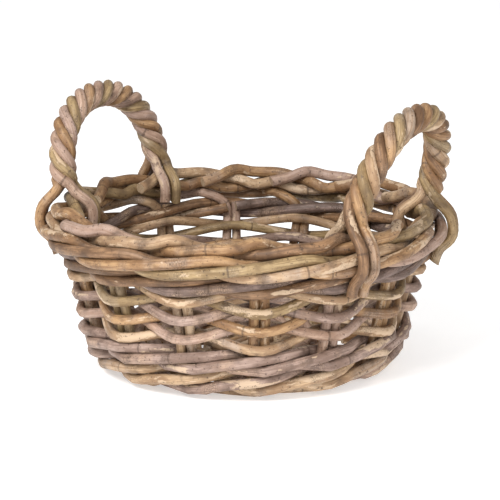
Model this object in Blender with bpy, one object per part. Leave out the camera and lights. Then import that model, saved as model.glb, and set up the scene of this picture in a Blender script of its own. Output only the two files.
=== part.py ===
"""Round rattan basket with two roped handles: every cane is a solid that follows its route in the weave.

The frame is metres with +Z up. The origin is on the ground under the middle of the floor, and the
handles stand at +X and -X. A place in the weave is a turn (in pairs of stakes, counted anticlockwise),
a distance up the wall along the stakes, and an offset outwards from the stakes' middle line.
"""

import math

import bmesh
import bpy
from mathutils import Matrix, Vector

# Driving dimensions
PAIRS = 14
STEP = 2 * math.pi / PAIRS
STAKE_D = 0.0090
ROW_D = 0.0082
WALE_D = 0.0092
BORDER_D = 0.0102
HANDLE_D = 0.0082
STICK_D = 0.0080
FLOOR_D = 0.0076
GAP = 0.0004

# The stakes' middle line in section: flat floor edge, tight bend, easy bend, straight leaning wall
FLOOR_Z = 0.0140
FLOOR_EDGE = 0.1250
TIGHT_RADIUS, TIGHT_ANGLE = 0.016, math.radians(55)
EASY_RADIUS, WALL_ANGLE = 0.069, math.radians(77)

# Distances up the wall
WALE_RISE = 0.0208
LOWER_WALE = -0.0040
FIRST_ROW = 0.0559
ROW_RISE = 0.0093
ROW_DIP = 0.0040
ROWS = 6
UPPER_WALE = 0.1163
STAKE_START = -0.0270
STAKE_TOP = 0.1220
BEND_START = 0.1195
PAIR_HALF = 0.00525
PAIR_HALF_AT_FLOOR = 0.0090
PAIR_OPENS = (-0.0230, -0.0125)

# A wale cane's route in the wall's section: middle, swing, flattening of the swing, rise and fall
WALE_MIDDLE, WALE_SWING, WALE_FLATTENING, WALE_LIFT = 0.0040, 0.0105, 0.0040, 0.0061

# Border: where a strand is in the border's section, for each turn after it leaves its stake
BORDER_RADIUS = 0.1766
BORDER_Z = 0.1425
BORDER_ROUTE = (
    # turn, outwards, up
    (0.20, -0.0090, -0.0145),
    (0.30, -0.0075, -0.0115),
    (0.42, -0.0020, -0.0100),
    (0.60, 0.0065, -0.0135),
    (0.90, 0.0110, -0.0150),
    (1.30, 0.0130, -0.0120),
    (1.70, 0.0165, -0.0070),
    (2.10, 0.0130, -0.0030),
    (2.50, 0.0085, -0.0005),
    (2.80, 0.0030, -0.0060),
    (3.10, -0.0030, -0.0060),
    (3.40, -0.0055, 0.0015),
    (3.65, -0.0090, -0.0015),
    (3.85, -0.0060, 0.0025),
    (4.05, 0.0015, 0.0045),
    (4.35, 0.0050, 0.0090),
    (4.70, 0.0030, 0.0100),
    (4.95, -0.0045, 0.0140),
    (5.20, -0.0125, 0.0070),
    (5.42, -0.0165, 0.0035),
)

# Floor
STICK_END = 0.1025
STICK_PITCH = 0.0086
STICK_FAN = (0.038, 0.060)
TIE_RADIUS, TIE_SPREAD = 0.036, 0.0024
TWINE_START, TWINE_PAIRS = 0.0625, 24
TWINE_PITCH = 2 * (FLOOR_D + 0.0006)

# Handles
HANDLE_FOOT_TURN = 1.0
ROPE_RADIUS = 0.0084
ROPE_QUARTER_TURNS = 17
ROPE_STATIONS = 36
FOOT_HALF = 0.0062
ARCH_FOOT_Z = 0.170
ARCH_POWER = 2.2
HANDLES = (
    # name, heading, outward lean and height at the top
    ("right", 0.12 * STEP, 0.025, 0.2560),
    ("left", math.pi, 0.016, 0.2480),
)
OUTER_FOOT = (
    # height, outwards from the foot's middle
    (0.1620, 0.0105),
    (0.1550, 0.0175),
    (0.1480, 0.0225),
    (0.1400, 0.0245),
    (0.1320, 0.0248),
    (0.1250, 0.0218),
    (0.1170, 0.0128),
    (0.1090, 0.0088),
    (0.1025, 0.0070),
)
INNER_FOOT = (
    (0.1630, -0.0120),
    (0.1570, -0.0205),
    (0.1510, -0.0265),
    (0.1440, -0.0285),
    (0.1370, -0.0280),
    (0.1305, -0.0272),
)

SLOT_COLOURS = {
    "honey_cane": (0.42, 0.28, 0.16, 1.0),
    "grey_cane": (0.34, 0.26, 0.20, 1.0),
    "brown_cane": (0.26, 0.17, 0.10, 1.0),
}


def smooth_step(value):
    """0 below 0, 1 above 1, and an even curve between."""
    value = max(0.0, min(1.0, value))
    return value * value * (3 - 2 * value)


def wall_point(up):
    """Radius, height and lean of the stakes' middle line at a distance up the wall."""
    if up <= 0:
        return FLOOR_EDGE + up, FLOOR_Z, 0.0
    tight_length = TIGHT_RADIUS * TIGHT_ANGLE
    if up <= tight_length:
        lean = up / TIGHT_RADIUS
        return (
            FLOOR_EDGE + TIGHT_RADIUS * math.sin(lean),
            FLOOR_Z + TIGHT_RADIUS * (1 - math.cos(lean)),
            lean,
        )
    radius = FLOOR_EDGE + TIGHT_RADIUS * math.sin(TIGHT_ANGLE)
    height = FLOOR_Z + TIGHT_RADIUS * (1 - math.cos(TIGHT_ANGLE))
    along = up - tight_length
    lean = min(WALL_ANGLE, TIGHT_ANGLE + along / EASY_RADIUS)
    radius += EASY_RADIUS * (math.sin(lean) - math.sin(TIGHT_ANGLE))
    height += EASY_RADIUS * (math.cos(TIGHT_ANGLE) - math.cos(lean))
    straight = max(0.0, along - EASY_RADIUS * (WALL_ANGLE - TIGHT_ANGLE))
    return radius + straight * math.cos(lean), height + straight * math.sin(lean), lean


def on_wall(turn, up, outwards, aside=0.0):
    """A point of the weave. Aside is a distance along the wall, anticlockwise."""
    radius, height, lean = wall_point(up)
    radius += outwards * math.sin(lean)
    height -= outwards * math.cos(lean)
    return round_point(turn, radius, height, aside)


def round_point(turn, radius, height, aside=0.0):
    """A point at a turn, a radius and a height."""
    angle = turn * STEP
    out = Vector((math.cos(angle), math.sin(angle), 0))
    along = Vector((-math.sin(angle), math.cos(angle), 0))
    return out * radius + along * aside + Vector((0, 0, height))


def material(slot):
    """The plain material of a finish, made once."""
    found = bpy.data.materials.get(slot)
    if found:
        return found
    made = bpy.data.materials.new(slot)
    made.use_nodes = True
    shader = made.node_tree.nodes["Principled BSDF"]
    shader.inputs["Base Color"].default_value = SLOT_COLOURS[slot]
    shader.inputs["Roughness"].default_value = 0.55
    shader.inputs["Metallic"].default_value = 0.0
    return made


def cane(collection, name, points, diameter, slot, widths=None):
    """A cane along a route: a curve of round section with closed ends. Widths are shares of the diameter."""
    curve = bpy.data.curves.new(name, "CURVE")
    curve.dimensions = "3D"
    curve.bevel_depth = diameter / 2
    curve.bevel_resolution = 1
    curve.use_fill_caps = True
    curve.twist_mode = "MINIMUM"
    spline = curve.splines.new("POLY")
    spline.points.add(len(points) - 1)
    for place, point, width in zip(spline.points, points, widths or [1.0] * len(points)):
        place.co = (*point, 1.0)
        place.radius = width
    curve.materials.append(material(slot))
    made = bpy.data.objects.new(name, curve)
    collection.objects.link(made)
    return made


def as_mesh(made):
    """Turns a curve object into a mesh object of the same name, with its caps joined on."""
    graph = bpy.context.evaluated_depsgraph_get()
    mesh = bpy.data.meshes.new_from_object(made.evaluated_get(graph))
    name, matrix, collection = made.name, made.matrix_world.copy(), made.users_collection[0]
    bpy.data.objects.remove(made)
    shape = bmesh.new()
    shape.from_mesh(mesh)
    bmesh.ops.remove_doubles(shape, verts=shape.verts, dist=1e-5)
    bmesh.ops.recalc_face_normals(shape, faces=shape.faces)
    shape.to_mesh(mesh)
    shape.free()
    solid = bpy.data.objects.new(name, mesh)
    solid.matrix_world = matrix
    collection.objects.link(solid)
    return solid


def box_cutter(cutters, name, low, high):
    """A box between two corners that only cuts."""
    mesh = bpy.data.meshes.new(name)
    shape = bmesh.new()
    size = [b - a for a, b in zip(low, high)]
    middle = [(a + b) / 2 for a, b in zip(low, high)]
    bmesh.ops.create_cube(shape, size=1, matrix=Matrix.Translation(middle) @ Matrix.Diagonal((*size, 1)))
    shape.to_mesh(mesh)
    shape.free()
    cutter = bpy.data.objects.new(name, mesh)
    cutter.hide_render = True
    cutter.display_type = "WIRE"
    cutters.objects.link(cutter)
    return cutter


def cut(target, cutter):
    """Cuts one mesh object with another."""
    modifier = target.modifiers.new("cut", "BOOLEAN")
    modifier.operation = "DIFFERENCE"
    modifier.object = cutter


def through(knots, value):
    """A smooth curve through knots of (place, a, b), read at a place by Catmull and Rom's rule."""
    last = len(knots) - 1
    index = next((i for i in range(last) if value <= knots[i + 1][0]), last - 1)
    a, b = knots[index], knots[index + 1]
    before, after = knots[max(0, index - 1)], knots[min(last, index + 2)]
    width = b[0] - a[0]
    t = (value - a[0]) / width
    result = []
    for k in range(1, len(a)):
        slope_a = (b[k] - before[k]) / (b[0] - before[0])
        slope_b = (after[k] - a[k]) / (after[0] - a[0])
        result.append(
            a[k] * (1 + 2 * t) * (1 - t) ** 2
            + b[k] * t * t * (3 - 2 * t)
            + slope_a * width * t * (1 - t) ** 2
            + slope_b * width * t * t * (t - 1)
        )
    return result


def stake_points(turn, side, top):
    """The upright part of a stake, from its end beside a floor stick to a distance up the wall."""
    opens, closes = PAIR_OPENS
    ups = [STAKE_START, opens, (opens + closes) / 2, closes]
    ups += [0.0010, 0.0085, 0.0170, 0.0300, 0.0480, 0.0780, top]
    points = []
    for up in ups:
        spread = 1 - smooth_step((up - opens) / (closes - opens))
        aside = PAIR_HALF + (PAIR_HALF_AT_FLOOR - PAIR_HALF) * spread
        points.append(on_wall(turn, up, 0.0, side * aside))
    return points


def border_points(turn):
    """A bent-over stake: up the border's outer face, in behind it, out over the top, and in to its end."""
    turns = [0.2, 0.3, 0.42, 0.6, 0.8, 1.0, 1.3, 1.6, 1.9, 2.2, 2.5, 2.8, 3.1]
    turns += [3.35, 3.55, 3.75, 3.9, 4.05, 4.25, 4.5, 4.75, 4.95, 5.1, 5.25, 5.42]
    points = []
    for passed in turns:
        outwards, up = through(BORDER_ROUTE, passed)
        points.append(round_point(turn + passed, BORDER_RADIUS + outwards, BORDER_Z + up))
    return points


def make_stakes(collection):
    """Pairs of a short stake that ends under the border and a long one that bends over to make it."""
    for pair in range(PAIRS):
        short = stake_points(pair, -1, STAKE_TOP)
        cane(collection, f"short_stake_{pair + 1:02d}", short, STAKE_D, "brown_cane")
        upright = stake_points(pair, 1, BEND_START)
        over = border_points(pair)
        widths = [1.0] * (len(upright) + 1) + [BORDER_D / STAKE_D] * (len(over) - 1)
        cane(collection, f"border_stake_{pair + 1:02d}", upright + over, STAKE_D, "honey_cane", widths)


def row_point(up, turn, first_pair):
    """A point of a plain row: low outside one pair, high inside the next, and further in at its end."""
    wave = math.cos(math.pi * (turn - first_pair))
    swing = (STAKE_D + ROW_D) / 2 + GAP + 0.0004
    outwards = -swing * math.sin(math.pi / 2 * wave)
    outwards -= (ROW_D + GAP) * smooth_step((turn - first_pair - PAIRS + 0.47) / 0.33)
    return on_wall(turn, up + ROW_DIP * wave, outwards)


def make_rows(collection):
    """Plain rows, one cane each, that run once round. Each ends over its own start, inside a pair."""
    half_pair = 0.13
    slots = ("honey_cane", "grey_cane", "brown_cane")
    for row in range(ROWS):
        first_pair = (5 * row + 3) % PAIRS
        first_pair += (first_pair + row + 1) % 2
        passed = [-half_pair, half_pair]
        for pair in range(1, PAIRS):
            passed += [pair - half_pair, pair + half_pair]
        passed += [PAIRS - 0.48, PAIRS - half_pair, PAIRS + half_pair, PAIRS + 0.30]
        up = FIRST_ROW + row * ROW_RISE
        points = [row_point(up, first_pair + turn, first_pair) for turn in passed]
        cane(collection, f"plain_row_{row + 1}", points, ROW_D, slots[row % 3])


def wale_point(turn, up, phase):
    """A point of a wale: outside two pairs and rising, then inside the third."""
    angle = 2 * math.pi * (phase - 0.5) / 3
    outwards = WALE_MIDDLE + WALE_SWING * math.cos(angle) - WALE_FLATTENING * math.cos(2 * angle)
    return on_wall(turn, up + WALE_LIFT * math.sin(angle), outwards)


def make_wale(collection, name, up, slots, start):
    """One round of three-cane waling, three times round in all, made of a cane for each slot."""
    length = 3 * PAIRS // len(slots)
    made = []
    for index, slot in enumerate(slots):
        first = start + 2 + index * length
        turns = [first + 0.06]
        for pair in range(length):
            turns += [first + pair + offset for offset in (0.12, 0.5, 0.88)]
        turns.append(first + length - 0.06)
        points = [wale_point(turn, up, turn - start) for turn in turns]
        made.append(cane(collection, f"{name}_{index + 1}", points, WALE_D, slot))
    return made


def make_wales(collection, cutters):
    """Three rounds at the foot, the lowest shaved level to stand on, and one round under the border."""
    foot = make_wale(collection, "foot_wale", LOWER_WALE, ("grey_cane", "brown_cane"), 1)
    ground = box_cutter(cutters, "ground", (-0.2, -0.2, -0.03), (0.2, 0.2, 0.0))
    for made in foot:
        cut(as_mesh(made), ground)
    make_wale(collection, "bottom_wale", LOWER_WALE + WALE_RISE, ("honey_cane", "grey_cane"), 6)
    make_wale(collection, "middle_wale", LOWER_WALE + 2 * WALE_RISE, ("grey_cane",), 2)
    make_wale(collection, "top_wale", UPPER_WALE, ("grey_cane", "honey_cane"), 10)


def stick_points(turn, offset, axis_turn):
    """Half of a floor stick: beside its neighbours in the middle, then fanned out to its own turn."""
    axis = axis_turn * STEP
    along = Vector((math.cos(axis), math.sin(axis), 0))
    across = Vector((-math.sin(axis), math.cos(axis), 0))
    points = []
    for radius in (STICK_FAN[0], 0.045, 0.050, 0.055, STICK_FAN[1], STICK_END):
        fan = smooth_step((radius - STICK_FAN[0]) / (STICK_FAN[1] - STICK_FAN[0]))
        straight = along * math.sqrt(radius**2 - offset**2) + across * offset
        points.append(straight.lerp(round_point(turn, radius, 0), fan) + Vector((0, 0, FLOOR_Z)))
    return points


def make_floor_sticks(collection, cutters):
    """Three sticks crossing four, each notched to half its depth at the crossing."""
    reach = 2.2 * STICK_PITCH
    corner = Vector((reach, reach, FLOOR_Z))
    up = Vector((0, 0, 0.02))
    slit = Vector((0, 0, GAP / 2))
    above = box_cutter(cutters, "upper_half", Vector((-reach, -reach, FLOOR_Z)) - slit, corner + up)
    below = box_cutter(cutters, "lower_half", Vector((-reach, -reach, FLOOR_Z)) - up, corner + slit)
    groups = (("long", 3, 0.0, above), ("cross", 4, PAIRS / 4, below))
    for name, count, axis_turn, cutter in groups:
        for index in range(count):
            place = index - (count - 1) / 2
            offset = place * STICK_PITCH
            far_turn = axis_turn + PAIRS / 2
            near = stick_points(axis_turn + place, offset, axis_turn)
            far = stick_points(far_turn - place, -offset, far_turn)
            made = cane(
                collection, f"floor_stick_{name}_{index + 1}", far[::-1] + near, STICK_D, "brown_cane"
            )
            cut(as_mesh(made), cutter)


def twine_point(turn, radius, wave_turn, side, flatness):
    """A point of a floor twine: over one arm and under the next, crossing its partner in between."""
    wave = math.cos(math.pi * wave_turn)
    for _ in range(flatness):
        wave = math.sin(math.pi / 2 * wave)
    outwards = side * (FLOOR_D / 2 + 0.0004) * math.sin(math.pi * wave_turn)
    height = FLOOR_Z + side * ((STICK_D + FLOOR_D) / 2 + GAP) * wave
    return round_point(turn, radius + outwards, height)


def make_floor_twines(collection):
    """A pair of canes ties the crossing, and a second pair twines outwards round the single sticks."""
    arm = PAIRS / 4
    for number, side in enumerate((1, -1), 1):
        points = []
        for step in range(49):
            passed = step / 12
            radius = TIE_RADIUS + TIE_SPREAD * passed
            points.append(twine_point(passed * arm, radius, passed, side, 2))
        cane(collection, f"floor_tie_{number}", points, FLOOR_D * 0.86, "honey_cane")
        points = []
        for pair in range(TWINE_PAIRS):
            for turn in (pair - 0.18, pair + 0.18, pair + 0.5):
                radius = TWINE_START + TWINE_PITCH * turn / PAIRS
                points.append(twine_point(turn, radius, turn, side, 1))
        cane(collection, f"floor_twine_{number}", points, FLOOR_D, "grey_cane")


def foot_points(side, strand):
    """A strand's foot, downwards from the rope: two strands pass outside the border and two inside."""
    around = math.pi / 4 + strand * math.pi / 2
    knots = OUTER_FOOT if math.cos(around) > 0 else INNER_FOOT
    aside = side * math.copysign(FOOT_HALF, math.sin(around))
    turn = side * HANDLE_FOOT_TURN
    return [round_point(turn, BORDER_RADIUS + outwards, height, aside) for height, outwards in knots]


def arch_line(lean, top):
    """Evenly spaced points of the middle line of a handle's rope: x outwards, y along the rim."""
    foot_angle = HANDLE_FOOT_TURN * STEP
    foot = Vector((BORDER_RADIUS * math.cos(foot_angle), 0, ARCH_FOOT_Z))
    half_width = BORDER_RADIUS * math.sin(foot_angle)
    fine = []
    for step in range(401):
        angle = math.pi * step / 400
        across = half_width * math.copysign(abs(math.cos(angle)) ** (2 / ARCH_POWER), math.cos(angle))
        share = abs(math.sin(angle)) ** (2 / ARCH_POWER)
        fine.append(foot + Vector((lean * share, across, (top - ARCH_FOOT_Z) * share)))
    lengths = [0.0]
    for a, b in zip(fine, fine[1:]):
        lengths.append(lengths[-1] + (b - a).length)
    line, index = [], 0
    for station in range(ROPE_STATIONS + 1):
        wanted = lengths[-1] * station / ROPE_STATIONS
        while index < 399 and lengths[index + 1] < wanted:
            index += 1
        share = (wanted - lengths[index]) / (lengths[index + 1] - lengths[index])
        line.append(fine[index].lerp(fine[index + 1], share))
    return line


def rope_points(line, strand):
    """A strand of a left-handed rope of four round a line. At its ends the rope turns to face the rim."""
    points = []
    last = len(line) - 1
    for index, centre in enumerate(line):
        ahead = (line[min(index + 1, last)] - line[max(index - 1, 0)]).normalized()
        outward = Vector((1, 0, 0))
        outward = (outward - ahead * outward.dot(ahead)).normalized()
        share = index / last
        twist = math.pi / 4 + (strand - share * ROPE_QUARTER_TURNS) * math.pi / 2
        offset = outward * math.cos(twist) + ahead.cross(outward) * math.sin(twist)
        near_foot = 1 - min(1.0, min(share, 1 - share) / 0.07)
        turn_in = math.copysign(HANDLE_FOOT_TURN * STEP * near_foot, 0.5 - share)
        points.append(centre + Matrix.Rotation(turn_in, 3, "Z") @ offset * ROPE_RADIUS)
    return points


def make_handle(collection, name, heading, lean, top):
    """Four canes laid up as a rope over an arch, with their ends astride the border."""
    turn_all = Matrix.Rotation(heading, 4, "Z")
    line = arch_line(lean, top)
    for strand in range(4):
        points = foot_points(1, strand)[::-1] + rope_points(line, strand)
        points += foot_points(-1, strand - ROPE_QUARTER_TURNS)
        points = [turn_all @ point for point in points]
        cane(collection, f"{name}_handle_strand_{strand + 1}", points, HANDLE_D, "honey_cane")


def main():
    for found in list(bpy.data.objects):
        bpy.data.objects.remove(found)
    collection = bpy.data.collections.new("rattan_basket")
    cutters = bpy.data.collections.new("cutters")
    bpy.context.scene.collection.children.link(collection)
    bpy.context.scene.collection.children.link(cutters)
    make_floor_sticks(collection, cutters)
    make_floor_twines(collection)
    make_stakes(collection)
    make_wales(collection, cutters)
    make_rows(collection)
    for name, heading, lean, top in HANDLES:
        make_handle(collection, name, heading, lean, top)


main()
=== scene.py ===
"""A round rattan basket with roped handles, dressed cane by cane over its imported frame."""

import logging
import math
import random
from collections.abc import Callable
from dataclasses import dataclass, field
from enum import Enum

import bmesh
import bpy
from mathutils import Matrix, Vector, noise


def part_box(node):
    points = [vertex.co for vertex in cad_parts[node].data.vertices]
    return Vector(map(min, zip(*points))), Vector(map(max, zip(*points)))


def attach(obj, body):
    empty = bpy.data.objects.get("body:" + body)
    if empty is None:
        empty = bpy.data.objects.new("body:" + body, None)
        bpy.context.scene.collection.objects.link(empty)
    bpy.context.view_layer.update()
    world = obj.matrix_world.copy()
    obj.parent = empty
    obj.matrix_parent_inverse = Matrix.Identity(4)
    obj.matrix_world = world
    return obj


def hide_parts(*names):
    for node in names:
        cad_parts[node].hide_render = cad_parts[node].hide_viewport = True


Triple = tuple[float, float, float]
Route = list[Vector]

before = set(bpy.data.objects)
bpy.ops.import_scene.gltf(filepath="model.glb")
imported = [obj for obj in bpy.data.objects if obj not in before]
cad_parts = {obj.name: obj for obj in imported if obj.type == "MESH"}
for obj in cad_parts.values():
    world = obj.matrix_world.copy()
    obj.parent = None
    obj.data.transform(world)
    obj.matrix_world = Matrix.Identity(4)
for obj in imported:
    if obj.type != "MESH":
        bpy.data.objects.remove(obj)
LOG = logging.getLogger("rattan_basket")


def smooth_step(value: float) -> float:
    """Gives 0 below 0, 1 above 1, and an even curve between."""
    value = max(0.0, min(1.0, value))
    return value * value * (3 - 2 * value)


def hump(distance: float, width: float) -> float:
    """Gives 1 at no distance, fading evenly to almost nothing past twice the width."""
    return math.exp(-((distance / width) ** 2))


def wander(turn: float, seed: float, size: float) -> float:
    """Gives a small slow drift, so that no two canes run exactly alike."""
    return size * noise.noise(Vector((turn * 0.9, seed * 7.3, 0.5)))


def spline_through(points: Route, spacing: float) -> Route:
    """Draws one smooth curve through a route's points.

    Args:
        points: The places that the curve passes through, in order.
        spacing: The distance wanted between the points of the result, in metres.

    Returns:
        Evenly spaced points along the curve, both ends included.
    """
    before = points[0] * 2 - points[1]
    after = points[-1] * 2 - points[-2]
    ring = [before, *points, after]
    fine: Route = []
    for a, b, c, d in zip(ring, ring[1:], ring[2:], ring[3:]):
        ab, bc, cd = (max(1e-6, (q - p).length) ** 0.5 for p, q in ((a, b), (b, c), (c, d)))
        slope_b = ((b - a) / ab - (c - a) / (ab + bc) + (c - b) / bc) * bc
        slope_c = ((c - b) / bc - (d - b) / (bc + cd) + (d - c) / cd) * bc
        for step in range(12):
            t = step / 12
            fine.append(
                b * (1 + 2 * t) * (1 - t) ** 2
                + c * t * t * (3 - 2 * t)
                + slope_b * t * (1 - t) ** 2
                + slope_c * t * t * (t - 1)
            )
    fine.append(points[-1].copy())
    return even_spacing(fine, spacing)


def even_spacing(points: Route, spacing: float) -> Route:
    """Walks along a line of points and puts new ones at even distances.

    Args:
        points: The line to walk.
        spacing: The distance wanted between points, in metres.

    Returns:
        The evenly spaced points, both ends included.
    """
    lengths = [0.0]
    for a, b in zip(points, points[1:]):
        lengths.append(lengths[-1] + (b - a).length)
    count = max(2, round(lengths[-1] / spacing))
    result: Route = []
    index = 0
    for step in range(count + 1):
        wanted = lengths[-1] * step / count
        while index < len(points) - 2 and lengths[index + 1] < wanted:
            index += 1
        span = max(1e-9, lengths[index + 1] - lengths[index])
        result.append(points[index].lerp(points[index + 1], (wanted - lengths[index]) / span))
    return result


def route_length(points: Route) -> float:
    """Adds up the distances between a route's points."""
    return sum((b - a).length for a, b in zip(points, points[1:]))


class NodeBoard:
    """Adds nodes to one material and joins them."""

    def __init__(self, material: bpy.types.Material) -> None:
        """Clears the way for a material's nodes, keeping its shader.

        Args:
            material: The material whose nodes are laid out.
        """
        material.use_nodes = True
        self.tree = material.node_tree
        self.shader = self.tree.nodes["Principled BSDF"]

    def add(self, kind: str, inputs: dict, **options: object) -> bpy.types.Node:
        """Adds one node.

        Args:
            kind: The node's type name, without its ShaderNode prefix.
            inputs: Values or sockets for the node's inputs, by name or number.
            **options: Values for the node's own properties.

        Returns:
            The new node.
        """
        node = self.tree.nodes.new("ShaderNode" + kind)
        for key, value in options.items():
            setattr(node, key, value)
        for key, value in inputs.items():
            self.feed(node.inputs[key], value)
        return node

    def feed(self, socket: bpy.types.NodeSocket, value: object) -> None:
        """Joins an input to another node's output, or sets its value."""
        if isinstance(value, bpy.types.NodeSocket):
            self.tree.links.new(value, socket)
        else:
            socket.default_value = value

    def stretched(self, vector: bpy.types.NodeSocket, scale: Triple) -> bpy.types.NodeSocket:
        """Gives a vector scaled by a different amount along each axis."""
        return self.add("Mapping", {"Vector": vector, "Scale": scale}).outputs["Vector"]

    def noise(self, vector: bpy.types.NodeSocket, scale: float, detail: float = 2.0) -> bpy.types.NodeSocket:
        """Gives a cloudy pattern from 0 to 1."""
        made = self.add("TexNoise", {"Vector": vector, "Scale": scale, "Detail": detail, "Roughness": 0.6})
        return made.outputs["Fac"]

    def between(
        self, value: bpy.types.NodeSocket, low: float, high: float, start: float = 0.0, end: float = 1.0
    ) -> bpy.types.NodeSocket:
        """Maps a stretch of values onto another, evenly and without passing its ends."""
        inputs = {"Value": value, "From Min": low, "From Max": high, "To Min": start, "To Max": end}
        return self.add("MapRange", inputs, interpolation_type="SMOOTHSTEP").outputs["Result"]

    def times(self, a: bpy.types.NodeSocket, b: object) -> bpy.types.NodeSocket:
        """Multiplies two values."""
        return self.add("Math", {0: a, 1: b}, operation="MULTIPLY").outputs["Value"]

    def plus(self, a: bpy.types.NodeSocket, b: object) -> bpy.types.NodeSocket:
        """Adds two values."""
        return self.add("Math", {0: a, 1: b}, operation="ADD").outputs["Value"]

    def mixed(
        self, share: bpy.types.NodeSocket, a: object, b: object, blend: str = "MIX"
    ) -> bpy.types.NodeSocket:
        """Mixes two colours.

        Args:
            share: How much of the second colour there is.
            a: The first colour or socket.
            b: The second colour or socket.
            blend: How the colours are mixed.

        Returns:
            The mixed colour.
        """
        node = self.tree.nodes.new("ShaderNodeMix")
        node.data_type = "RGBA"
        node.blend_type = blend
        self.feed(node.inputs[0], share)
        for socket, value in ((node.inputs[6], a), (node.inputs[7], b)):
            self.feed(socket, (*value, 1.0) if isinstance(value, tuple) else value)
        return node.outputs[2]


@dataclass(frozen=True)
class CaneFinish:
    """Rattan with its bark on: fibres, mottling, weathered stretches, flaked skin, scale marks and joints."""

    name: str
    pale: Triple
    deep: Triple
    weathered: Triple
    flake: Triple = (0.58, 0.43, 0.29)
    stain: Triple = (0.050, 0.026, 0.014)
    pith: Triple = (0.42, 0.31, 0.20)
    weathering: float = 0.5
    scaliness: float = 0.5
    flaking: float = 0.5
    gloss: float = 0.5

    def material(self) -> bpy.types.Material:
        """Gives this finish's material, made the first time it is asked for."""
        known = bpy.data.materials.get(self.name)
        if known:
            return known
        made = bpy.data.materials.new(self.name)
        board = NodeBoard(made)
        straight = board.add("Attribute", {}, attribute_name="straight").outputs["Vector"]
        past_joint = board.add("Attribute", {}, attribute_name="joint").outputs["Fac"]
        pith = board.add("Attribute", {}, attribute_name="pith").outputs["Fac"]
        fibres = board.noise(board.stretched(straight, (1, 1, 0.026)), 760.0, 4.0)
        mottle = board.noise(board.stretched(straight, (1, 1, 0.3)), 130.0, 5.0)
        weather = board.noise(board.stretched(straight, (0.5, 0.5, 1)), 13.0, 4.0)
        blotches = board.noise(board.stretched(straight, (1, 1, 0.4)), 320.0, 4.0)
        uneven = board.plus(past_joint, board.times(board.noise(straight, 240.0, 2.0), 0.0016))
        offset = board.add("Math", {0: board.plus(uneven, -0.003)}, operation="ABSOLUTE").outputs["Value"]
        joint = board.between(offset, 0.0004, 0.0014, 1.0, 0.0)
        scales = self.scale_lines(board, straight)
        rings = self.ring_marks(board, straight)
        flakes = self.flakes(board, straight)
        grime = board.between(board.noise(straight, 48.0, 6.0), 0.50, 0.70)
        specks = board.between(board.noise(straight, 380.0, 2.0), 0.62, 0.69)
        colour = board.mixed(board.between(mottle, 0.40, 0.62), self.pale, self.deep)
        low = 0.62 - 0.24 * self.weathering
        colour = board.mixed(board.between(weather, low, low + 0.10, 0.0, 0.9), colour, self.weathered)
        colour = board.mixed(board.between(blotches, 0.34, 0.56, 0.5, 0.0), colour, self.deep)
        colour = board.mixed(board.between(fibres, 0.34, 0.56, 0.85, 0.0), colour, self.deep)
        colour = board.mixed(board.times(grime, 0.6), colour, self.stain)
        colour = board.mixed(board.times(flakes, 0.7), colour, self.flake)
        colour = board.mixed(board.times(scales, 0.85 * self.scaliness), colour, self.stain)
        colour = board.mixed(board.times(rings, 0.35), colour, self.stain)
        colour = board.mixed(board.times(specks, 0.75), colour, self.stain)
        colour = board.mixed(board.times(joint, 0.6), colour, self.stain)
        pores = board.between(board.noise(straight, 1400.0, 0.0), 0.5, 0.7)
        cut = board.mixed(board.times(pores, 0.6), self.pith, self.deep)
        colour = board.mixed(pith, colour, cut)
        board.feed(board.shader.inputs["Base Color"], colour)
        dull = 0.70 - 0.30 * self.gloss
        board.feed(board.shader.inputs["Roughness"], board.between(mottle, 0.2, 0.8, dull, dull + 0.18))
        relief = board.plus(board.times(fibres, 0.6), board.times(board.plus(scales, rings), -0.5))
        relief = board.plus(relief, board.times(flakes, 0.4))
        relief = board.plus(relief, board.times(blotches, 0.5))
        relief = board.plus(relief, board.times(mottle, 0.9))
        bump = board.add("Bump", {"Strength": 0.6, "Distance": 0.0010, "Height": relief})
        board.feed(board.shader.inputs["Normal"], bump.outputs["Normal"])
        board.shader.inputs["IOR"].default_value = 1.45
        board.shader.inputs["Coat Weight"].default_value = 0.12 * self.gloss
        board.shader.inputs["Coat Roughness"].default_value = 0.32
        return made

    def scale_lines(self, board: NodeBoard, straight: bpy.types.NodeSocket) -> bpy.types.NodeSocket:
        """Lays a net of fine dark lines over some stretches, as on bark that has dried.

        Args:
            board: The material's nodes.
            straight: The place on the cane before it is bent.

        Returns:
            A value of 1 in the lines and 0 between them.
        """
        cells = board.add(
            "TexVoronoi",
            {"Vector": board.stretched(straight, (1, 1, 1.9)), "Scale": 300.0, "Randomness": 0.9},
            feature="DISTANCE_TO_EDGE",
        ).outputs["Distance"]
        low = 0.60 - 0.14 * self.scaliness
        stretches = board.noise(board.stretched(straight, (0.6, 0.6, 1)), 26.0, 2.0)
        where = board.between(stretches, low, low + 0.12)
        return board.times(board.between(cells, 0.03, 0.16, 1.0, 0.0), where)

    def flakes(self, board: NodeBoard, straight: bpy.types.NodeSocket) -> bpy.types.NodeSocket:
        """Lays pale patches with ragged edges, where the skin has flaked off."""
        low = 0.66 - 0.14 * self.flaking
        zones = board.noise(board.stretched(straight, (1, 1, 0.22)), 75.0, 2.0)
        ragged = board.noise(board.stretched(straight, (1, 1, 0.5)), 360.0, 3.0)
        both = board.plus(zones, board.times(ragged, 0.30))
        return board.between(both, low + 0.17, low + 0.21)

    def ring_marks(self, board: NodeBoard, straight: bpy.types.NodeSocket) -> bpy.types.NodeSocket:
        """Lays short dark marks across the cane, where leaf sheaths have let go."""
        across = board.noise(board.stretched(straight, (0.30, 0.30, 1)), 640.0, 2.0)
        where = board.between(board.noise(straight, 95.0, 1.0), 0.50, 0.64)
        return board.times(board.between(across, 0.60, 0.69), where)


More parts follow.
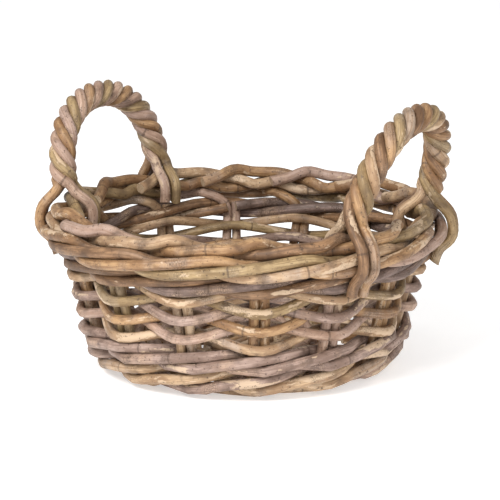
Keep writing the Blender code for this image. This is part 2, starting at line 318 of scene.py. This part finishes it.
class Tone(Enum):
    """The finishes that the basket's canes come in."""

    HONEY = CaneFinish(
        name="cane_honey",
        pale=(0.42, 0.255, 0.125),
        deep=(0.200, 0.103, 0.044),
        weathered=(0.35, 0.24, 0.165),
        gloss=0.7,
    )
    SAND = CaneFinish(
        name="cane_sand",
        pale=(0.50, 0.345, 0.205),
        deep=(0.27, 0.162, 0.086),
        weathered=(0.38, 0.285, 0.215),
        flaking=0.7,
        gloss=0.6,
    )
    ROSE = CaneFinish(
        name="cane_rose",
        pale=(0.47, 0.325, 0.24),
        deep=(0.26, 0.158, 0.106),
        weathered=(0.40, 0.28, 0.225),
        weathering=0.7,
        scaliness=0.3,
    )
    MAUVE = CaneFinish(
        name="cane_mauve",
        pale=(0.38, 0.27, 0.22),
        deep=(0.19, 0.122, 0.092),
        weathered=(0.43, 0.29, 0.205),
        scaliness=0.6,
    )
    OLIVE = CaneFinish(
        name="cane_olive",
        pale=(0.38, 0.265, 0.132),
        deep=(0.185, 0.117, 0.052),
        weathered=(0.33, 0.245, 0.155),
        gloss=0.7,
    )
    BROWN = CaneFinish(
        name="cane_brown",
        pale=(0.29, 0.162, 0.080),
        deep=(0.115, 0.058, 0.026),
        weathered=(0.31, 0.19, 0.11),
        flaking=0.3,
        gloss=0.6,
    )
    SLATE = CaneFinish(
        name="cane_slate",
        pale=(0.25, 0.172, 0.142),
        deep=(0.105, 0.068, 0.053),
        weathered=(0.34, 0.225, 0.15),
        scaliness=0.9,
        flaking=0.3,
    )


@dataclass
class CaneBench:
    """Makes canes: each is first a straight cylinder, then swollen at its joints and bent along its route."""

    sides: int = 14
    spacing: float = 0.0030
    end_inset: float = 0.09
    end_rounding: float = 0.06
    joint_gap: tuple[float, float] = (0.17, 0.30)
    joint_swelling: float = 0.075
    joint_length: float = 0.0028
    neck_depth: float = 0.035
    neck_past_joint: float = 0.006
    neck_length: float = 0.004
    slow_unevenness: float = 0.04
    slow_pitch: float = 10
    quick_unevenness: float = 0.03
    quick_pitch: float = 18
    slant: float = 0.5
    slant_reach: float = 1.2
    pith_share: float = 0.43
    first_seed: int = 1000
    made: int = 0

    def lay(
        self, name: str, route: Route, diameter: float, tone: Tone, widths: tuple[float, float] = (1.0, 1.0)
    ) -> None:
        """Makes one cane and puts it in the place of the CAD node of the same name.

        Args:
            name: The CAD node that the cane stands for. The piece is named after it.
            route: The places that the cane's middle passes through.
            diameter: The cane's thickness, in metres.
            tone: The cane's finish.
            widths: Thicknesses at the route's start and end, as shares of the diameter.
        """
        self.made += 1
        luck = random.Random(self.first_seed + self.made)
        line = spline_through(route, self.spacing)
        length = route_length(line)
        cane = self.straight_cane(name + "_cane", length, diameter, len(line) - 2)
        self.swell(cane, length, diameter, widths, luck)
        self.bend(cane, line)
        cane.data.materials.append(tone.value.material())
        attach(cane, "root")
        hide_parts(name)
        LOG.info("%s: %.0f mm long, %d faces", cane.name, length * 1000, len(cane.data.polygons))

    def straight_cane(self, name: str, length: float, diameter: float, cuts: int) -> bpy.types.Object:
        """Adds a cylinder up the Z axis, rounds its cut ends and divides it along its length.

        Args:
            name: The piece's name.
            length: The cane's length, in metres.
            diameter: The cane's thickness, in metres.
            cuts: How many rings divide it.

        Returns:
            The cane, standing on the origin.
        """
        bpy.ops.object.select_all(action="DESELECT")
        bpy.ops.mesh.primitive_cylinder_add(
            vertices=self.sides, radius=diameter / 2, depth=length, location=(0, 0, length / 2)
        )
        cane = bpy.context.object
        cane.name = cane.data.name = name
        bpy.ops.object.transform_apply(location=True, rotation=False, scale=False)
        bpy.ops.object.mode_set(mode="EDIT")
        bpy.ops.mesh.select_mode(type="FACE")
        self.select_faces(cane, lambda face: abs(face.normal.z) > 0.9)
        bpy.ops.mesh.inset(thickness=diameter * self.end_inset)
        bpy.ops.mesh.select_mode(type="EDGE")
        self.select_edges(cane, lambda a, b: abs(a.z - b.z) < 1e-6 and a.xy.length > diameter * 0.49)
        bpy.ops.mesh.bevel(offset=diameter * self.end_rounding, segments=2, affect="EDGES")
        self.select_edges(cane, lambda a, b: abs(a.z - b.z) > length / 2)
        bpy.ops.mesh.subdivide(number_cuts=cuts)
        bpy.ops.object.mode_set(mode="OBJECT")
        return cane

    @staticmethod
    def select_faces(cane: bpy.types.Object, wanted: Callable[[bmesh.types.BMFace], bool]) -> None:
        """Selects the faces that a test picks, and no others."""
        bpy.ops.mesh.select_all(action="DESELECT")
        shape = bmesh.from_edit_mesh(cane.data)
        for face in shape.faces:
            face.select_set(wanted(face))
        bmesh.update_edit_mesh(cane.data)

    @staticmethod
    def select_edges(cane: bpy.types.Object, wanted: Callable[[Vector, Vector], bool]) -> None:
        """Selects the edges whose two ends a test picks, and no others."""
        bpy.ops.mesh.select_all(action="DESELECT")
        shape = bmesh.from_edit_mesh(cane.data)
        for edge in shape.edges:
            if wanted(edge.verts[0].co, edge.verts[1].co):
                edge.select_set(True)
        bmesh.update_edit_mesh(cane.data)

    def swell(
        self,
        cane: bpy.types.Object,
        length: float,
        diameter: float,
        widths: tuple[float, float],
        luck: random.Random,
    ) -> None:
        """Gives a straight cane uneven thickness, joints and slanted ends, and notes what its finish reads.

        Args:
            cane: The straight cane.
            length: Its length, in metres.
            diameter: Its thickness, in metres.
            widths: Shares of the thickness at its start and end.
            luck: The source of what differs from cane to cane.
        """
        seed = luck.uniform(0, 50)
        joints = [luck.uniform(0.02, self.joint_gap[1])]
        while joints[-1] < length:
            joints.append(joints[-1] + luck.uniform(*self.joint_gap))
        slants = [(luck.uniform(-self.slant, self.slant), luck.uniform(0, math.tau)) for _ in range(2)]
        for name, kind in (("straight", "FLOAT_VECTOR"), ("pith", "FLOAT"), ("joint", "FLOAT")):
            cane.data.attributes.new(name, kind, "POINT")
        straight, pith, joint = (cane.data.attributes[name] for name in ("straight", "pith", "joint"))
        for index, vertex in enumerate(cane.data.vertices):
            place = vertex.co
            along = place.z
            around = place.xy.length
            past_joint = min((along - at for at in joints), key=abs)
            straight.data[index].vector = (place.x, place.y, along + seed)
            joint.data[index].value = past_joint
            pith.data[index].value = 1.0 if around < diameter * self.pith_share else 0.0
            width = widths[0] + (widths[1] - widths[0]) * smooth_step(along / length)
            width += self.slow_unevenness * noise.noise(Vector((seed, 0, along * self.slow_pitch)))
            width += self.joint_swelling * hump(past_joint, self.joint_length)
            width -= self.neck_depth * hump(past_joint - self.neck_past_joint, self.neck_length)
            if around > 1e-6:
                way = Vector((place.x / around, place.y / around + seed, along * self.quick_pitch))
                width += self.quick_unevenness * noise.noise(way)
            place.x *= width
            place.y *= width
            for end, (slant, turn) in zip((0.0, length), slants):
                near = 1 - smooth_step(abs(along - end) / (diameter * self.slant_reach))
                place.z += near * slant * (place.x * math.cos(turn) + place.y * math.sin(turn))

    def bend(self, cane: bpy.types.Object, line: Route) -> None:
        """Bends a straight cane along a line and shades it smooth.

        Args:
            cane: The straight cane, standing on the origin.
            line: Evenly spaced points of the line it follows.
        """
        curve = bpy.data.curves.new("route", "CURVE")
        curve.dimensions = "3D"
        spline = curve.splines.new("POLY")
        spline.points.add(len(line) - 1)
        for place, point in zip(spline.points, line):
            place.co = (*point, 1.0)
        guide = bpy.data.objects.new("route", curve)
        bpy.context.scene.collection.objects.link(guide)
        bpy.context.view_layer.objects.active = cane
        cane.select_set(True)
        modifier = cane.modifiers.new("bend", "CURVE")
        modifier.object = guide
        modifier.deform_axis = "POS_Z"
        bpy.ops.object.modifier_apply(modifier=modifier.name)
        bpy.data.objects.remove(guide)
        bpy.data.curves.remove(curve)
        bpy.ops.object.shade_smooth_by_angle(angle=math.radians(50))


@dataclass
class Wall:
    """The wall's section: the stakes' middle line from the floor's edge up, and the places round it."""

    pairs: int = 14
    floor_height: float = 0.0140
    floor_edge: float = 0.1250
    tight_radius: float = 0.016
    tight_angle: float = math.radians(55)
    easy_radius: float = 0.069
    lean: float = math.radians(77)
    border_radius: float = 0.1766
    border_height: float = 0.1425

    def section(self, up: float) -> tuple[float, float, float]:
        """Gives the radius, height and lean at a distance up the wall."""
        if up <= 0:
            return self.floor_edge + up, self.floor_height, 0.0
        tight_length = self.tight_radius * self.tight_angle
        if up <= tight_length:
            lean = up / self.tight_radius
            return (
                self.floor_edge + self.tight_radius * math.sin(lean),
                self.floor_height + self.tight_radius * (1 - math.cos(lean)),
                lean,
            )
        radius = self.floor_edge + self.tight_radius * math.sin(self.tight_angle)
        height = self.floor_height + self.tight_radius * (1 - math.cos(self.tight_angle))
        along = up - tight_length
        lean = min(self.lean, self.tight_angle + along / self.easy_radius)
        radius += self.easy_radius * (math.sin(lean) - math.sin(self.tight_angle))
        height += self.easy_radius * (math.cos(self.tight_angle) - math.cos(lean))
        straight = max(0.0, along - self.easy_radius * (self.lean - self.tight_angle))
        return radius + straight * math.cos(lean), height + straight * math.sin(lean), lean

    def round_point(self, turn: float, radius: float, height: float, aside: float = 0.0) -> Vector:
        """Gives the point at a turn, a radius and a height, moved aside anticlockwise."""
        angle = turn * math.tau / self.pairs
        out = Vector((math.cos(angle), math.sin(angle), 0))
        along = Vector((-math.sin(angle), math.cos(angle), 0))
        return out * radius + along * aside + Vector((0, 0, height))

    def on_wall(self, turn: float, up: float, outwards: float, aside: float = 0.0) -> Vector:
        """Gives the point at a turn, a distance up the wall and an offset out of it."""
        radius, height, lean = self.section(up)
        return self.round_point(
            turn, radius + outwards * math.sin(lean), height - outwards * math.cos(lean), aside
        )


@dataclass
class Stakes:
    """Pairs of upright canes. One of each pair ends under the border, the other bends over to make it."""

    wall: Wall
    bench: CaneBench
    thickness: float = 0.0094
    border_thickness: float = 0.0114
    start: float = -0.0270
    top: float = 0.1220
    bend_start: float = 0.1195
    half_gap: float = 0.00525
    half_gap_at_floor: float = 0.0090
    opens: float = -0.0230
    closes: float = -0.0125
    unevenness: float = 0.0008
    border_route: tuple[Triple, ...] = (
        # turns passed, outwards and up from the border's middle
        (0.20, -0.0090, -0.0145),
        (0.30, -0.0075, -0.0115),
        (0.42, -0.0020, -0.0100),
        (0.60, 0.0065, -0.0135),
        (0.90, 0.0110, -0.0150),
        (1.30, 0.0130, -0.0120),
        (1.70, 0.0165, -0.0070),
        (2.10, 0.0130, -0.0030),
        (2.50, 0.0085, -0.0005),
        (2.80, 0.0030, -0.0060),
        (3.10, -0.0030, -0.0060),
        (3.40, -0.0055, 0.0015),
        (3.65, -0.0090, -0.0015),
        (3.85, -0.0060, 0.0025),
        (4.05, 0.0015, 0.0045),
        (4.35, 0.0050, 0.0090),
        (4.70, 0.0030, 0.0100),
        (4.95, -0.0045, 0.0140),
        (5.20, -0.0125, 0.0070),
        (5.42, -0.0165, 0.0035),
    )
    tones: tuple[Tone, ...] = (
        Tone.HONEY, Tone.SAND, Tone.HONEY, Tone.OLIVE, Tone.HONEY, Tone.ROSE, Tone.SAND,
        Tone.HONEY, Tone.BROWN, Tone.HONEY, Tone.OLIVE, Tone.SAND, Tone.HONEY, Tone.ROSE,
    )

    def upright(self, turn: float, side: int, top: float) -> Route:
        """Gives the route from a floor stick's side to a distance up the wall."""
        ups = [self.start, self.opens, (self.opens + self.closes) / 2, self.closes]
        ups += [0.0010, 0.0085, 0.0170, 0.0300, 0.0480, 0.0780, top]
        route: Route = []
        for up in ups:
            spread = 1 - smooth_step((up - self.opens) / (self.closes - self.opens))
            aside = self.half_gap + (self.half_gap_at_floor - self.half_gap) * spread
            route.append(self.wall.on_wall(turn, up, 0.0, side * aside))
        return route

    def bent_over(self, turn: float) -> Route:
        """Gives the route of a border strand after it leaves its stake."""
        route: Route = []
        for passed, outwards, up in self.border_route:
            radius = self.wall.border_radius + outwards + wander(turn + passed, turn, self.unevenness)
            height = self.wall.border_height + up + wander(turn + passed, turn + 40, self.unevenness)
            route.append(self.wall.round_point(turn + passed, radius, height))
        return route

    def build(self) -> None:
        """Makes both canes of every pair."""
        for pair in range(self.wall.pairs):
            tone = self.tones[pair]
            short = self.upright(pair, -1, self.top)
            self.bench.lay(f"short_stake_{pair + 1:02d}", short, self.thickness, tone)
            tall = self.upright(pair, 1, self.bend_start) + self.bent_over(pair)
            ratio = self.border_thickness / self.thickness
            self.bench.lay(f"border_stake_{pair + 1:02d}", tall, self.thickness, tone, (1.0, ratio))


@dataclass
class Rows:
    """Plain rows of single canes that pass outside one pair of stakes and inside the next."""

    wall: Wall
    bench: CaneBench
    thickness: float = 0.0094
    first: float = 0.0559
    rise: float = 0.0093
    dip: float = 0.0036
    swing: float = 0.00965
    end_inwards: float = 0.0091
    end_start: float = 0.47
    end_length: float = 0.33
    unevenness: tuple[float, float] = (0.0009, 0.0016)
    half_pair: float = 0.11
    tones: tuple[Tone, ...] = (Tone.SAND, Tone.ROSE, Tone.HONEY, Tone.MAUVE, Tone.OLIVE, Tone.SAND)

    def point(self, up: float, turn: float, first_pair: int) -> Vector:
        """Gives a point of a row: low outside a pair, high inside the next, further in at its end."""
        wave = math.cos(math.pi * (turn - first_pair))
        outwards = -self.swing * math.sin(math.pi / 2 * wave)
        past_end = turn - first_pair - self.wall.pairs + self.end_start
        outwards -= self.end_inwards * smooth_step(past_end / self.end_length)
        outwards += wander(turn, up * 900, self.unevenness[0])
        up += self.dip * wave + wander(turn, up * 700 + 9, self.unevenness[1])
        return self.wall.on_wall(turn, up, outwards)

    def build(self) -> None:
        """Makes every row."""
        for row, tone in enumerate(self.tones):
            first_pair = (5 * row + 3) % self.wall.pairs
            first_pair += (first_pair + row + 1) % 2
            passed = [-self.half_pair, self.half_pair]
            for pair in range(1, self.wall.pairs):
                passed += [pair - self.half_pair, pair + self.half_pair]
            last = self.wall.pairs
            passed += [last - 0.48, last - self.half_pair, last + self.half_pair, last + 0.30]
            up = self.first + row * self.rise
            route = [self.point(up, first_pair + turn, first_pair) for turn in passed]
            self.bench.lay(f"plain_row_{row + 1}", route, self.thickness, tone)


@dataclass
class Waling:
    """Rounds of three-cane waling: each cane passes outside two pairs, rising, and then inside one."""

    wall: Wall
    bench: CaneBench
    thickness: float = 0.0101
    middle: float = 0.0040
    swing: float = 0.0105
    flattening: float = 0.0040
    lift: float = 0.0061
    unevenness: float = 0.0006
    rounds: tuple[tuple[str, float, int, tuple[Tone, ...]], ...] = (
        # name, distance up the wall, first turn, and the canes' finishes
        ("foot_wale", -0.0040, 1, (Tone.ROSE, Tone.SAND)),
        ("bottom_wale", 0.0168, 6, (Tone.SAND, Tone.MAUVE)),
        ("middle_wale", 0.0376, 2, (Tone.MAUVE,)),
        ("top_wale", 0.1163, 10, (Tone.SLATE, Tone.BROWN)),
    )

    def point(self, turn: float, up: float, phase: float) -> Vector:
        """Gives a point of a wale cane's route."""
        angle = math.tau * (phase - 0.5) / 3
        outwards = self.middle + self.swing * math.cos(angle) - self.flattening * math.cos(2 * angle)
        outwards += wander(turn, up * 500, self.unevenness)
        point = self.wall.on_wall(turn, up + self.lift * math.sin(angle), outwards)
        point.z = max(point.z, self.thickness / 2)
        return point

    def build(self) -> None:
        """Makes the canes of every round. Together they go three times round."""
        for name, up, start, tones in self.rounds:
            length = 3 * self.wall.pairs // len(tones)
            for index, tone in enumerate(tones):
                first = start + 2 + index * length
                turns = [first + 0.06]
                for pair in range(length):
                    turns += [first + pair + offset for offset in (0.12, 0.5, 0.88)]
                turns.append(first + length - 0.06)
                route = [self.point(turn, up, turn - start) for turn in turns]
                self.bench.lay(f"{name}_{index + 1}", route, self.thickness, tone)


@dataclass
class Floor:
    """Crossed sticks, fanned out and tied, with a pair of canes twined round them."""

    wall: Wall
    bench: CaneBench
    stick_thickness: float = 0.0080
    twine_thickness: float = 0.0076
    stick_end: float = 0.1025
    pitch: float = 0.0086
    fan: tuple[float, float] = (0.038, 0.060)
    tie_radius: float = 0.036
    tie_spread: float = 0.0024
    twine_start: float = 0.0625
    twine_pairs: int = 24
    gap: float = 0.0004

    def half_stick(self, turn: float, offset: float, axis_turn: float, drop: float) -> Route:
        """Gives the route of half a stick, from the middle outwards.

        Args:
            turn: Where the stick's end points.
            offset: Its distance from the crossing's middle line.
            axis_turn: Where its group of sticks points.
            drop: How far the stick is set down or up at the crossing.

        Returns:
            The half stick's places.
        """
        axis = axis_turn * math.tau / self.wall.pairs
        along = Vector((math.cos(axis), math.sin(axis), 0))
        across = Vector((-math.sin(axis), math.cos(axis), 0))
        route: Route = []
        for radius in (0.024, self.fan[0], 0.045, 0.050, 0.055, self.fan[1], self.stick_end):
            fanned = smooth_step((radius - self.fan[0]) / (self.fan[1] - self.fan[0]))
            straight = along * math.sqrt(radius**2 - offset**2) + across * offset
            point = straight.lerp(self.wall.round_point(turn, radius, 0), fanned)
            sunk = drop * (1 - smooth_step((radius - 0.02) / 0.018))
            route.append(point + Vector((0, 0, self.wall.floor_height + sunk)))
        return route

    def build_sticks(self) -> None:
        """Makes the two groups of crossing sticks."""
        groups = (("long", 3, 0.0, -1, Tone.BROWN), ("cross", 4, self.wall.pairs / 4, 1, Tone.HONEY))
        for name, count, axis_turn, side, tone in groups:
            for index in range(count):
                place = index - (count - 1) / 2
                offset = place * self.pitch
                far_turn = axis_turn + self.wall.pairs / 2
                drop = side * self.stick_thickness * 0.25
                near = self.half_stick(axis_turn + place, offset, axis_turn, drop)
                far = self.half_stick(far_turn - place, -offset, far_turn, drop)
                route = far[::-1] + near
                self.bench.lay(f"floor_stick_{name}_{index + 1}", route, self.stick_thickness, tone)

    def twine_point(self, turn: float, radius: float, passed: float, side: int, flatness: int) -> Vector:
        """Gives a point of a twine: over one arm, under the next, crossing its partner between them."""
        wave = math.cos(math.pi * passed)
        for _ in range(flatness):
            wave = math.sin(math.pi / 2 * wave)
        outwards = side * (self.twine_thickness / 2 + self.gap) * math.sin(math.pi * passed)
        height = self.wall.floor_height
        height += side * ((self.stick_thickness + self.twine_thickness) / 2 + self.gap) * wave
        return self.wall.round_point(turn, radius + outwards, height)

    def build_twines(self) -> None:
        """Makes the ties round the crossing and the twines round the sticks."""
        arm = self.wall.pairs / 4
        pitch = 2 * (self.twine_thickness + 0.0006)
        for number, side in enumerate((1, -1), 1):
            route: Route = []
            for step in range(49):
                passed = step / 12
                radius = self.tie_radius + self.tie_spread * passed
                route.append(self.twine_point(passed * arm, radius, passed, side, 2))
            self.bench.lay(f"floor_tie_{number}", route, self.twine_thickness * 0.9, Tone.SAND)
            route = []
            for pair in range(self.twine_pairs):
                for turn in (pair - 0.18, pair + 0.18, pair + 0.5):
                    radius = self.twine_start + pitch * turn / self.wall.pairs
                    route.append(self.twine_point(turn, radius, turn, side, 1))
            self.bench.lay(f"floor_twine_{number}", route, self.twine_thickness, Tone.ROSE)

    def build(self) -> None:
        """Makes the whole floor."""
        self.build_sticks()
        self.build_twines()


@dataclass
class Handle:
    """A left-handed rope of four canes over an arch, with its ends astride the border."""

    wall: Wall
    bench: CaneBench
    name: str
    heading: float
    lean: float
    tones: tuple[Tone, ...]
    thickness: float = 0.0104
    rope_radius: float = 0.0084
    quarter_turns: int = 17
    stations: int = 36
    foot_turn: float = 1.0
    foot_half: float = 0.0062
    foot_height: float = 0.170
    power: float = 2.2
    turn_in_share: float = 0.07
    strand_reach: float = 0.0042
    outer_foot: tuple[tuple[float, float], ...] = (
        # height, outwards from the foot's middle
        (0.1620, 0.0105),
        (0.1550, 0.0175),
        (0.1480, 0.0225),
        (0.1400, 0.0245),
        (0.1320, 0.0248),
        (0.1250, 0.0218),
        (0.1170, 0.0128),
        (0.1090, 0.0088),
        (0.1025, 0.0070),
    )
    inner_foot: tuple[tuple[float, float], ...] = (
        (0.1630, -0.0120),
        (0.1570, -0.0205),
        (0.1510, -0.0265),
        (0.1440, -0.0285),
        (0.1370, -0.0280),
        (0.1305, -0.0272),
    )
    top: float = field(init=False)

    def __post_init__(self) -> None:
        """Reads the height of the rope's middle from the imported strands."""
        highest = max(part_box(f"{self.name}_handle_strand_{strand}")[1][2] for strand in range(1, 5))
        self.top = highest - self.rope_radius - self.strand_reach

    def arch(self) -> Route:
        """Gives evenly spaced points of the rope's middle line: x outwards, y along the rim."""
        foot_angle = self.foot_turn * math.tau / self.wall.pairs
        foot = Vector((self.wall.border_radius * math.cos(foot_angle), 0, self.foot_height))
        half_width = self.wall.border_radius * math.sin(foot_angle)
        line: Route = []
        for step in range(401):
            angle = math.pi * step / 400
            across = half_width * math.copysign(abs(math.cos(angle)) ** (2 / self.power), math.cos(angle))
            share = abs(math.sin(angle)) ** (2 / self.power)
            line.append(foot + Vector((self.lean * share, across, (self.top - self.foot_height) * share)))
        return even_spacing(line, route_length(line) / self.stations)

    def rope(self, line: Route, strand: int) -> Route:
        """Gives a strand's places round the middle line."""
        last = len(line) - 1
        route: Route = []
        for index, centre in enumerate(line):
            ahead = (line[min(index + 1, last)] - line[max(index - 1, 0)]).normalized()
            outward = Vector((1, 0, 0))
            outward = (outward - ahead * outward.dot(ahead)).normalized()
            share = index / last
            twist = math.pi / 4 + (strand - share * self.quarter_turns) * math.pi / 2
            offset = outward * math.cos(twist) + ahead.cross(outward) * math.sin(twist)
            near_foot = 1 - min(1.0, min(share, 1 - share) / self.turn_in_share)
            foot_angle = self.foot_turn * math.tau / self.wall.pairs
            turn_in = math.copysign(foot_angle * near_foot, 0.5 - share)
            route.append(centre + Matrix.Rotation(turn_in, 3, "Z") @ offset * self.rope_radius)
        return route

    def foot(self, side: int, strand: int) -> Route:
        """Gives a strand's places below the rope, downwards: two strands pass outside and two inside."""
        around = math.pi / 4 + strand * math.pi / 2
        knots = self.outer_foot if math.cos(around) > 0 else self.inner_foot
        aside = side * math.copysign(self.foot_half, math.sin(around))
        turn = side * self.foot_turn
        radius = self.wall.border_radius
        return [self.wall.round_point(turn, radius + outwards, height, aside) for height, outwards in knots]

    def build(self) -> None:
        """Makes the four strands."""
        turn_all = Matrix.Rotation(self.heading, 4, "Z")
        line = self.arch()
        for strand in range(4):
            route = self.foot(1, strand)[::-1] + self.rope(line, strand)
            route += self.foot(-1, strand - self.quarter_turns)
            route = [turn_all @ point for point in route]
            name = f"{self.name}_handle_strand_{strand + 1}"
            self.bench.lay(name, route, self.thickness, self.tones[strand])


@dataclass
class Studio:
    """A pale floor, soft lights and the camera."""

    aim: Vector = field(default_factory=lambda: Vector((0.0, 0.0, 0.110)))
    distance: float = 2.2
    azimuth: float = math.radians(33.5)
    elevation: float = math.radians(13.2)
    focal_length: float = 163.0
    sideways: float = 0.0053
    floor_side: float = 12.0
    light_distance: float = 1.8

    def direction(self, azimuth: float, elevation: float) -> Vector:
        """Gives the way from the basket to a place round it."""
        flat = math.cos(elevation)
        return Vector((math.sin(azimuth) * flat, -math.cos(azimuth) * flat, math.sin(elevation)))

    def build_floor(self) -> None:
        """Lays the floor."""
        bpy.ops.mesh.primitive_plane_add(size=self.floor_side, location=(0, 0, -0.0002))
        floor = bpy.context.object
        floor.name = "studio_floor"
        material = bpy.data.materials.new("studio_white")
        material.use_nodes = True
        shader = material.node_tree.nodes["Principled BSDF"]
        shader.inputs["Base Color"].default_value = (0.90, 0.90, 0.90, 1.0)
        shader.inputs["Roughness"].default_value = 0.9
        shader.inputs["Emission Color"].default_value = (1.0, 1.0, 1.0, 1.0)
        shader.inputs["Emission Strength"].default_value = 0.46
        floor.data.materials.append(material)

    def add_light(self, name: str, azimuth: float, elevation: float, size: float, power: float) -> None:
        """Hangs one square light, aimed at the basket.

        Args:
            name: The light's name.
            azimuth: Its direction round the basket, in degrees from the camera's, to the right.
            elevation: Its height, in degrees.
            size: Its side, in metres.
            power: Its power, in watts.
        """
        data = bpy.data.lights.new(name, "AREA")
        data.size = size
        data.energy = power
        light = bpy.data.objects.new(name, data)
        bpy.context.scene.collection.objects.link(light)
        way = self.direction(self.azimuth + math.radians(azimuth), math.radians(elevation))
        light.location = self.aim + way * self.light_distance
        light.rotation_euler = way.to_track_quat("Z", "Y").to_euler()

    def build_lights(self) -> None:
        """Sets the sky and the lights."""
        world = bpy.data.worlds.new("studio")
        world.use_nodes = True
        world.node_tree.nodes["Background"].inputs["Color"].default_value = (1.0, 1.0, 1.0, 1.0)
        world.node_tree.nodes["Background"].inputs["Strength"].default_value = 0.57
        bpy.context.scene.world = world
        bpy.context.scene.view_settings.view_transform = "Standard"
        self.add_light("key", -32, 40, 0.8, 32)
        self.add_light("front", 25, 14, 1.2, 12)

    def build_camera(self) -> None:
        """Places the camera."""
        data = bpy.data.cameras.new("camera")
        data.lens = self.focal_length
        camera = bpy.data.objects.new("camera", data)
        bpy.context.scene.collection.objects.link(camera)
        way = self.direction(self.azimuth, self.elevation)
        right = Vector((0, 0, 1)).cross(way).normalized()
        camera.location = self.aim + way * self.distance + right * self.sideways
        camera.rotation_euler = way.to_track_quat("Z", "Y").to_euler()
        bpy.context.scene.camera = camera

    def build(self) -> None:
        """Sets up the whole studio."""
        self.build_floor()
        self.build_lights()
        self.build_camera()


def main() -> None:
    """Builds the basket and its studio."""
    logging.basicConfig(level=logging.INFO, format="%(message)s")
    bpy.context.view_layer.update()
    Studio().build()
    wall = Wall()
    bench = CaneBench()
    Floor(wall, bench).build()
    Stakes(wall, bench).build()
    Waling(wall, bench).build()
    Rows(wall, bench).build()
    right = (Tone.HONEY, Tone.BROWN, Tone.SAND, Tone.OLIVE)
    left = (Tone.HONEY, Tone.ROSE, Tone.OLIVE, Tone.ROSE)
    Handle(wall, bench, "right", 0.12 * math.tau / wall.pairs, 0.025, right).build()
    Handle(wall, bench, "left", math.pi, 0.016, left).build()


if __name__ == "__main__":
    main()
